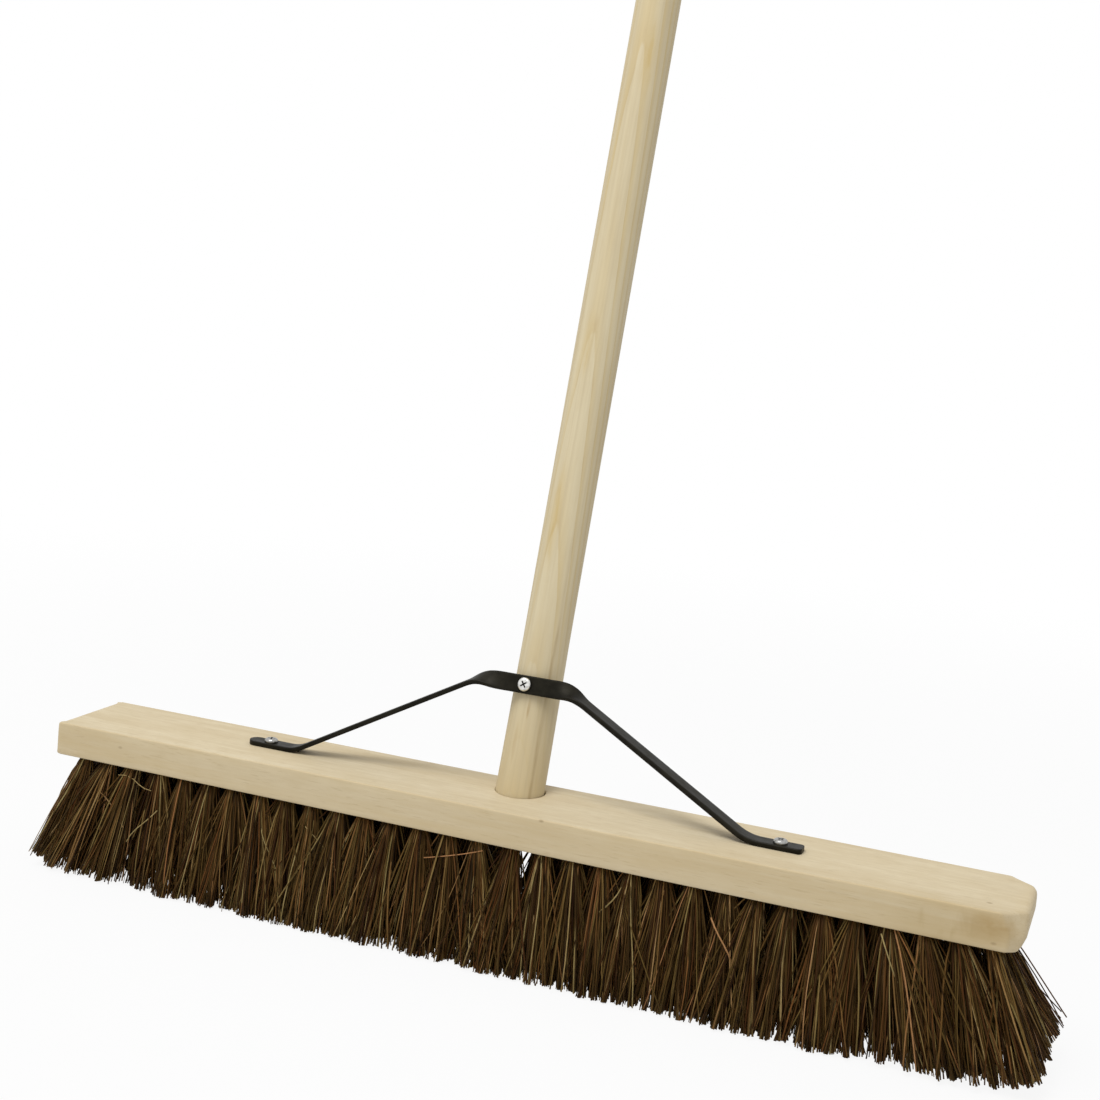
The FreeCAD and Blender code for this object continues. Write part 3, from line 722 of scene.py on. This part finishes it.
def fibre_ends(roots, tips, fibres, side, draw):
    """Start and end points of every fibre in a row of tufts.

    A tuft sways and parts into sheaves spaced round an ellipse, and a fibre ends
    at its sheaf's middle plus a small scatter; loose fibres scatter further. Ends
    past the brush's outer limits are folded back inside. A tip stands higher by
    the square of its sideways run, because a fibre that leans keeps its length,
    by its distance from the middle of its sheaf, and towards the brush's ends.
    """
    many = (len(roots), fibres)
    angle = draw.uniform(0, 2 * np.pi, (len(roots), 1))
    angle = angle + draw.normal(0, SHEAF_TURN, (len(roots), SHEAVES))
    angle += np.linspace(0, 2 * np.pi, SHEAVES, endpoint=False)
    reach = draw.uniform(SHEAF_NEAREST, 1.0, (len(roots), SHEAVES))
    sheaves = np.stack([reach * np.cos(angle), reach * np.sin(angle)], -1) * SHEAF_REACH
    sheaves += draw.normal(0, 1, (len(roots), 1, 2)) * TUFT_SWAY
    own = draw.integers(0, SHEAVES, many)
    scatter = draw.normal(0, SHEAF_SPREAD[side], (*many, 2))
    loose = draw.uniform(0, 1, (*many, 1)) < LOOSE_SHARE
    scatter = np.where(loose, draw.normal(0, 1, (*many, 2)) * LOOSE_SPREAD, scatter)
    lean = np.take_along_axis(sheaves, own[..., None], 1) + scatter
    turn = draw.uniform(0, 2 * np.pi, many)
    place = np.sqrt(draw.uniform(0, 1, many))
    disc = np.stack([place * np.cos(turn), place * np.sin(turn)], -1) * ROOT_FILL
    disc += ROOT_LEAN * lean / SHEAF_REACH
    disc /= np.maximum(1, np.linalg.norm(disc, axis=-1, keepdims=True))
    start = roots[:, None] + disc * ROOT_RADIUS
    end = tips[:, None] + lean
    end_limit = np.interp(end[..., 1], LIMIT_DEPTHS, BRUSH_LIMIT[side])
    depth_limit = np.where(end[..., 1] < 0, TIP_REACH["front"], TIP_REACH["back"])
    limit = np.stack([end_limit, depth_limit], -1) + draw.normal(0, LIMIT_NOISE, (*many, 1))
    end = np.sign(end) * (limit - np.abs(limit - np.abs(end)))
    run = np.linalg.norm(end - start, axis=-1)
    outer = np.clip((tips[:, :1] - SPLAY_START) / SCALLOP_CHANGE, 0, 1)
    slope = SCALLOP[side] + (SCALLOP["right_end"] - SCALLOP["right"]) * outer
    height = TIP_CLEARANCE + TRIM_ARC * run ** 2 / (2 * STOCK_BOTTOM)
    height += slope * np.minimum(np.linalg.norm(scatter, axis=-1), SCALLOP_TOP)
    height += END_RISE[side] * np.maximum(np.abs(end[..., 0]) - END_RISE_START, 0)
    height += draw.exponential(TRIM_NOISE, many)
    start = np.concatenate([start, np.full((*many, 1), STOCK_BOTTOM + ROOT_SINK)], -1)
    end = np.concatenate([end, height[..., None]], -1)
    return start.reshape(-1, 3), end.reshape(-1, 3), loose.reshape(-1)


def fibre_rings(start, end, draw):
    """Tapered, slightly bowed and rippled tubes from start to end points.

    Along a tube the centre is the straight line plus a sideways bow, which is
    nothing at both ends and greatest in the middle, plus one sideways wave. The
    section is a flattened ring, and its radius shrinks a little to the tip.
    """
    count = len(start)
    travel = end - start
    direction = travel / np.linalg.norm(travel, axis=1, keepdims=True)
    side = np.cross(direction, [0.0, 1.0, 0.0])
    side /= np.linalg.norm(side, axis=1, keepdims=True)
    front = np.cross(side, direction)
    share = np.linspace(0, 1, FIBRE_RINGS)
    bow = draw.normal(0, FIBRE_BOW, (count, 2))
    wave = draw.normal(0, FIBRE_WAVE, (count, 2))
    arch = 4 * share * (1 - share)
    ripple = np.sin(2 * np.pi * share)
    centre = start[:, None] + travel[:, None] * share[None, :, None]
    centre += side[:, None] * (bow[:, :1] * arch + wave[:, :1] * ripple)[..., None]
    centre += front[:, None] * (bow[:, 1:] * arch + wave[:, 1:] * ripple)[..., None]
    around = np.linspace(0, 2 * np.pi, FIBRE_SIDES, endpoint=False)
    turn = draw.uniform(0, 2 * np.pi, (count, 1)) + around
    flat = draw.uniform(*FIBRE_FLATNESS, (count, 1))
    head_foot_shade = (side[:, None] * np.cos(turn)[..., None]
           + front[:, None] * (flat * np.sin(turn))[..., None])
    radius = draw.uniform(*FIBRE_RADIUS, (count, 1)) * (1 - (1 - FIBRE_TIP_SHARE) * share)
    rings = centre[:, :, None] + head_foot_shade[:, None] * radius[..., None, None]
    rings[..., 2] = np.maximum(rings[..., 2], FLOOR_CLEARANCE)
    return rings


def bassine():
    """Palm fibre: each fibre has its own brown, from near black to straw, with long streaks."""
    material, shader, place = new_finish("bassine", 0.5, 0.1)
    tone, warmth = (place.node("ShaderNodeAttribute", {"attribute_name": name}, {}, 2)
                    for name in ("fibre_tone", "fibre_warmth"))
    streak = place.noise((900, 900, 60), 3, 0.6) - 0.5
    shade = tone + streak * 0.3
    olive_stops = [
        (0.0, (0.017, 0.0085, 0.0020)), (0.35, (0.074, 0.042, 0.0095)),
        (0.60, (0.147, 0.093, 0.025)), (0.82, (0.255, 0.184, 0.064)), (1.0, (0.42, 0.335, 0.15))]
    red_stops = [(at, (red * 1.2, green * 0.74, blue * 0.75))
                 for at, (red, green, blue) in olive_stops]
    olive, red = (shade.node("ShaderNodeValToRGB", {"stops": stops}, {"Fac": shade})
                  for stops in (olive_stops, red_stops))
    colour = warmth.mix(olive, red)
    lay(shader, colour, 0.45 + streak * 0.3, streak, 0.00008)
    return material


fibre_finish = bassine()
for row_index, row in enumerate(("front", "front_inner", "middle", "back_inner", "back")):
    for side_index, side in enumerate(("left", "right")):
        draw = np.random.default_rng(FIRST_SEED + 2 * row_index + side_index)
        node = f"tufts_{row}_{side}"
        roots = tuft_roots(node)
        tips = tuft_tips(roots, side)
        start, end, loose = fibre_ends(roots, tips, FIBRES_PER_TUFT[row], side, draw)
        if row == "front":
            caught = np.array(CAUGHT[side]) * MM
            start = np.concatenate([start, caught[:, 0]])
            end = np.concatenate([end, caught[:, 1]])
            loose = np.concatenate([loose, np.ones(len(caught), bool)])
        rings = fibre_rings(start, end, draw)
        count = len(start)
        bright = draw.uniform(0, 1, count) < BRIGHT_SHARE * (1 + LOOSE_BRIGHTER * loose)
        bright_tone = draw.uniform(*BRIGHT_TONES, count)
        dark_tone = DARK_TONE_LIMIT * draw.beta(*DARK_TONES, count)
        tone = np.where(bright, bright_tone, dark_tone)
        if row == "front":
            tone[-len(caught):] = CAUGHT_TONE
        tufts = skin(f"fibres_{row}_{side}", rings, fibre_finish)
        warmth = draw.beta(*WARMTH_SPREAD, count)
        for attribute, values in (("fibre_tone", tone), ("fibre_warmth", warmth)):
            layer = tufts.data.attributes.new(attribute, "FLOAT", "POINT")
            spread = np.repeat(values, FIBRE_RINGS * FIBRE_SIDES).astype(np.float32)
            layer.data.foreach_set("value", spread)
        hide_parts(node)

# ---- floor, light and camera ----
# A plain white floor under even studio light from a broad lamp above and to the
# left of the front, with the rest of the room giving an even fill.
FLOOR_SIZE = 12.0
FLOOR_WHITE = (0.90, 1.0)
FLOOR_FADE = (0.5, 1.6)
AMBIENT = 0.60
KEY_PLACE = (-0.45, -1.0, 2.75)
KEY_TARGET = (0.0, 0.0, 0.2)
KEY_SIZE = 1.4
KEY_WATTS = 46.0
CAMERA_TARGET = np.array([0.0105, 0.0, 0.24573])
CAMERA_AZIMUTH, CAMERA_ELEVATION, CAMERA_ROLL = np.radians([20.338, 9.213, 4.8])
CAMERA_DISTANCE = 0.97922
CAMERA_LENS = 55.44


def floor_finish():
    """White floor: it shows the object's shadow nearby and goes to plain white further off."""
    material, shader, place = new_finish("floor_white", 0.9, 0.1)
    grain = place.noise((30, 30, 30), 2, 0.5)
    lay(shader, grain.mix((0.74, 0.74, 0.74, 1), (0.77, 0.77, 0.77, 1)))
    rays = place.node("ShaderNodeLightPath", {}, {})
    far = place.near((0, 0, 0), (1, 1, 0)).fade(*FLOOR_FADE)
    white = place.node("ShaderNodeEmission", {}, {"Color": (1, 1, 1, 1), "Strength": 1.0})
    factor = rays * (FLOOR_WHITE[0] + (FLOOR_WHITE[1] - FLOOR_WHITE[0]) * far)
    tree = shader.id_data
    surface = Signal(tree, shader.outputs[0])
    mixed = place.node("ShaderNodeMixShader", {}, {0: factor, 1: surface, 2: white})
    tree.links.new(mixed.socket, tree.nodes["Material Output"].inputs["Surface"])
    return material


half_floor = FLOOR_SIZE / 2
floor_mesh = bpy.data.meshes.new("floor")
floor_corners = [(x * half_floor, y * half_floor, 0)
                 for x, y in ((-1, -1), (1, -1), (1, 1), (-1, 1))]
floor_mesh.from_pydata(floor_corners, [], [(0, 1, 2, 3)])
floor_mesh.materials.append(floor_finish())
floor = bpy.data.objects.new("floor", floor_mesh)
bpy.context.scene.collection.objects.link(floor)


def area_lamp(name, place, target, size, watts):
    """A square soft lamp at a place, turned to face a target."""
    lamp = bpy.data.lights.new(name, "AREA")
    lamp.size = size
    lamp.energy = watts
    holder = bpy.data.objects.new(name, lamp)
    holder.location = place
    holder.rotation_euler = (Vector(target) - Vector(place)).to_track_quat("-Z", "Y").to_euler()
    bpy.context.scene.collection.objects.link(holder)


area_lamp("key_lamp", KEY_PLACE, KEY_TARGET, KEY_SIZE, KEY_WATTS)

world = bpy.data.worlds.new("studio")
world.use_nodes = True
bpy.context.scene.world = world
room = world.node_tree
dim = room.nodes["Background"]
dim.inputs["Color"].default_value = (1, 1, 1, 1)
dim.inputs["Strength"].default_value = AMBIENT
start_signal = Signal(room, dim.outputs[0])
bright = start_signal.node("ShaderNodeBackground", {}, {"Color": (1, 1, 1, 1), "Strength": 1.0})
camera_ray, glossy_ray, transmission_ray = (
    start_signal.node("ShaderNodeLightPath", {}, {}, name)
    for name in ("Is Camera Ray", "Is Glossy Ray", "Is Transmission Ray"))
seen = camera_ray + glossy_ray + transmission_ray
seen = seen.math("MINIMUM", seen, 1.0)
sky = start_signal.node("ShaderNodeMixShader", {}, {0: seen, 1: start_signal, 2: bright})
room.links.new(sky.socket, room.nodes["World Output"].inputs["Surface"])

level_reach = math.cos(CAMERA_ELEVATION)
back_way = np.array([math.sin(CAMERA_AZIMUTH) * level_reach,
                     -math.cos(CAMERA_AZIMUTH) * level_reach, math.sin(CAMERA_ELEVATION)])
level_right = np.cross(-back_way, [0, 0, 1])
level_right /= np.linalg.norm(level_right)
level_up = np.cross(level_right, -back_way)
right_way = level_right * math.cos(CAMERA_ROLL) + level_up * math.sin(CAMERA_ROLL)
up_way = level_up * math.cos(CAMERA_ROLL) - level_right * math.sin(CAMERA_ROLL)
camera = bpy.data.objects.new("camera", bpy.data.cameras.new("camera"))
camera.data.lens = CAMERA_LENS
camera_place = CAMERA_TARGET + back_way * CAMERA_DISTANCE
camera_rows = np.column_stack([right_way, up_way, back_way, camera_place]).tolist()
camera.matrix_world = Matrix([*camera_rows, (0, 0, 0, 1)])
bpy.context.scene.collection.objects.link(camera)
bpy.context.scene.camera = camera
bpy.context.scene.view_settings.view_transform = "Standard"
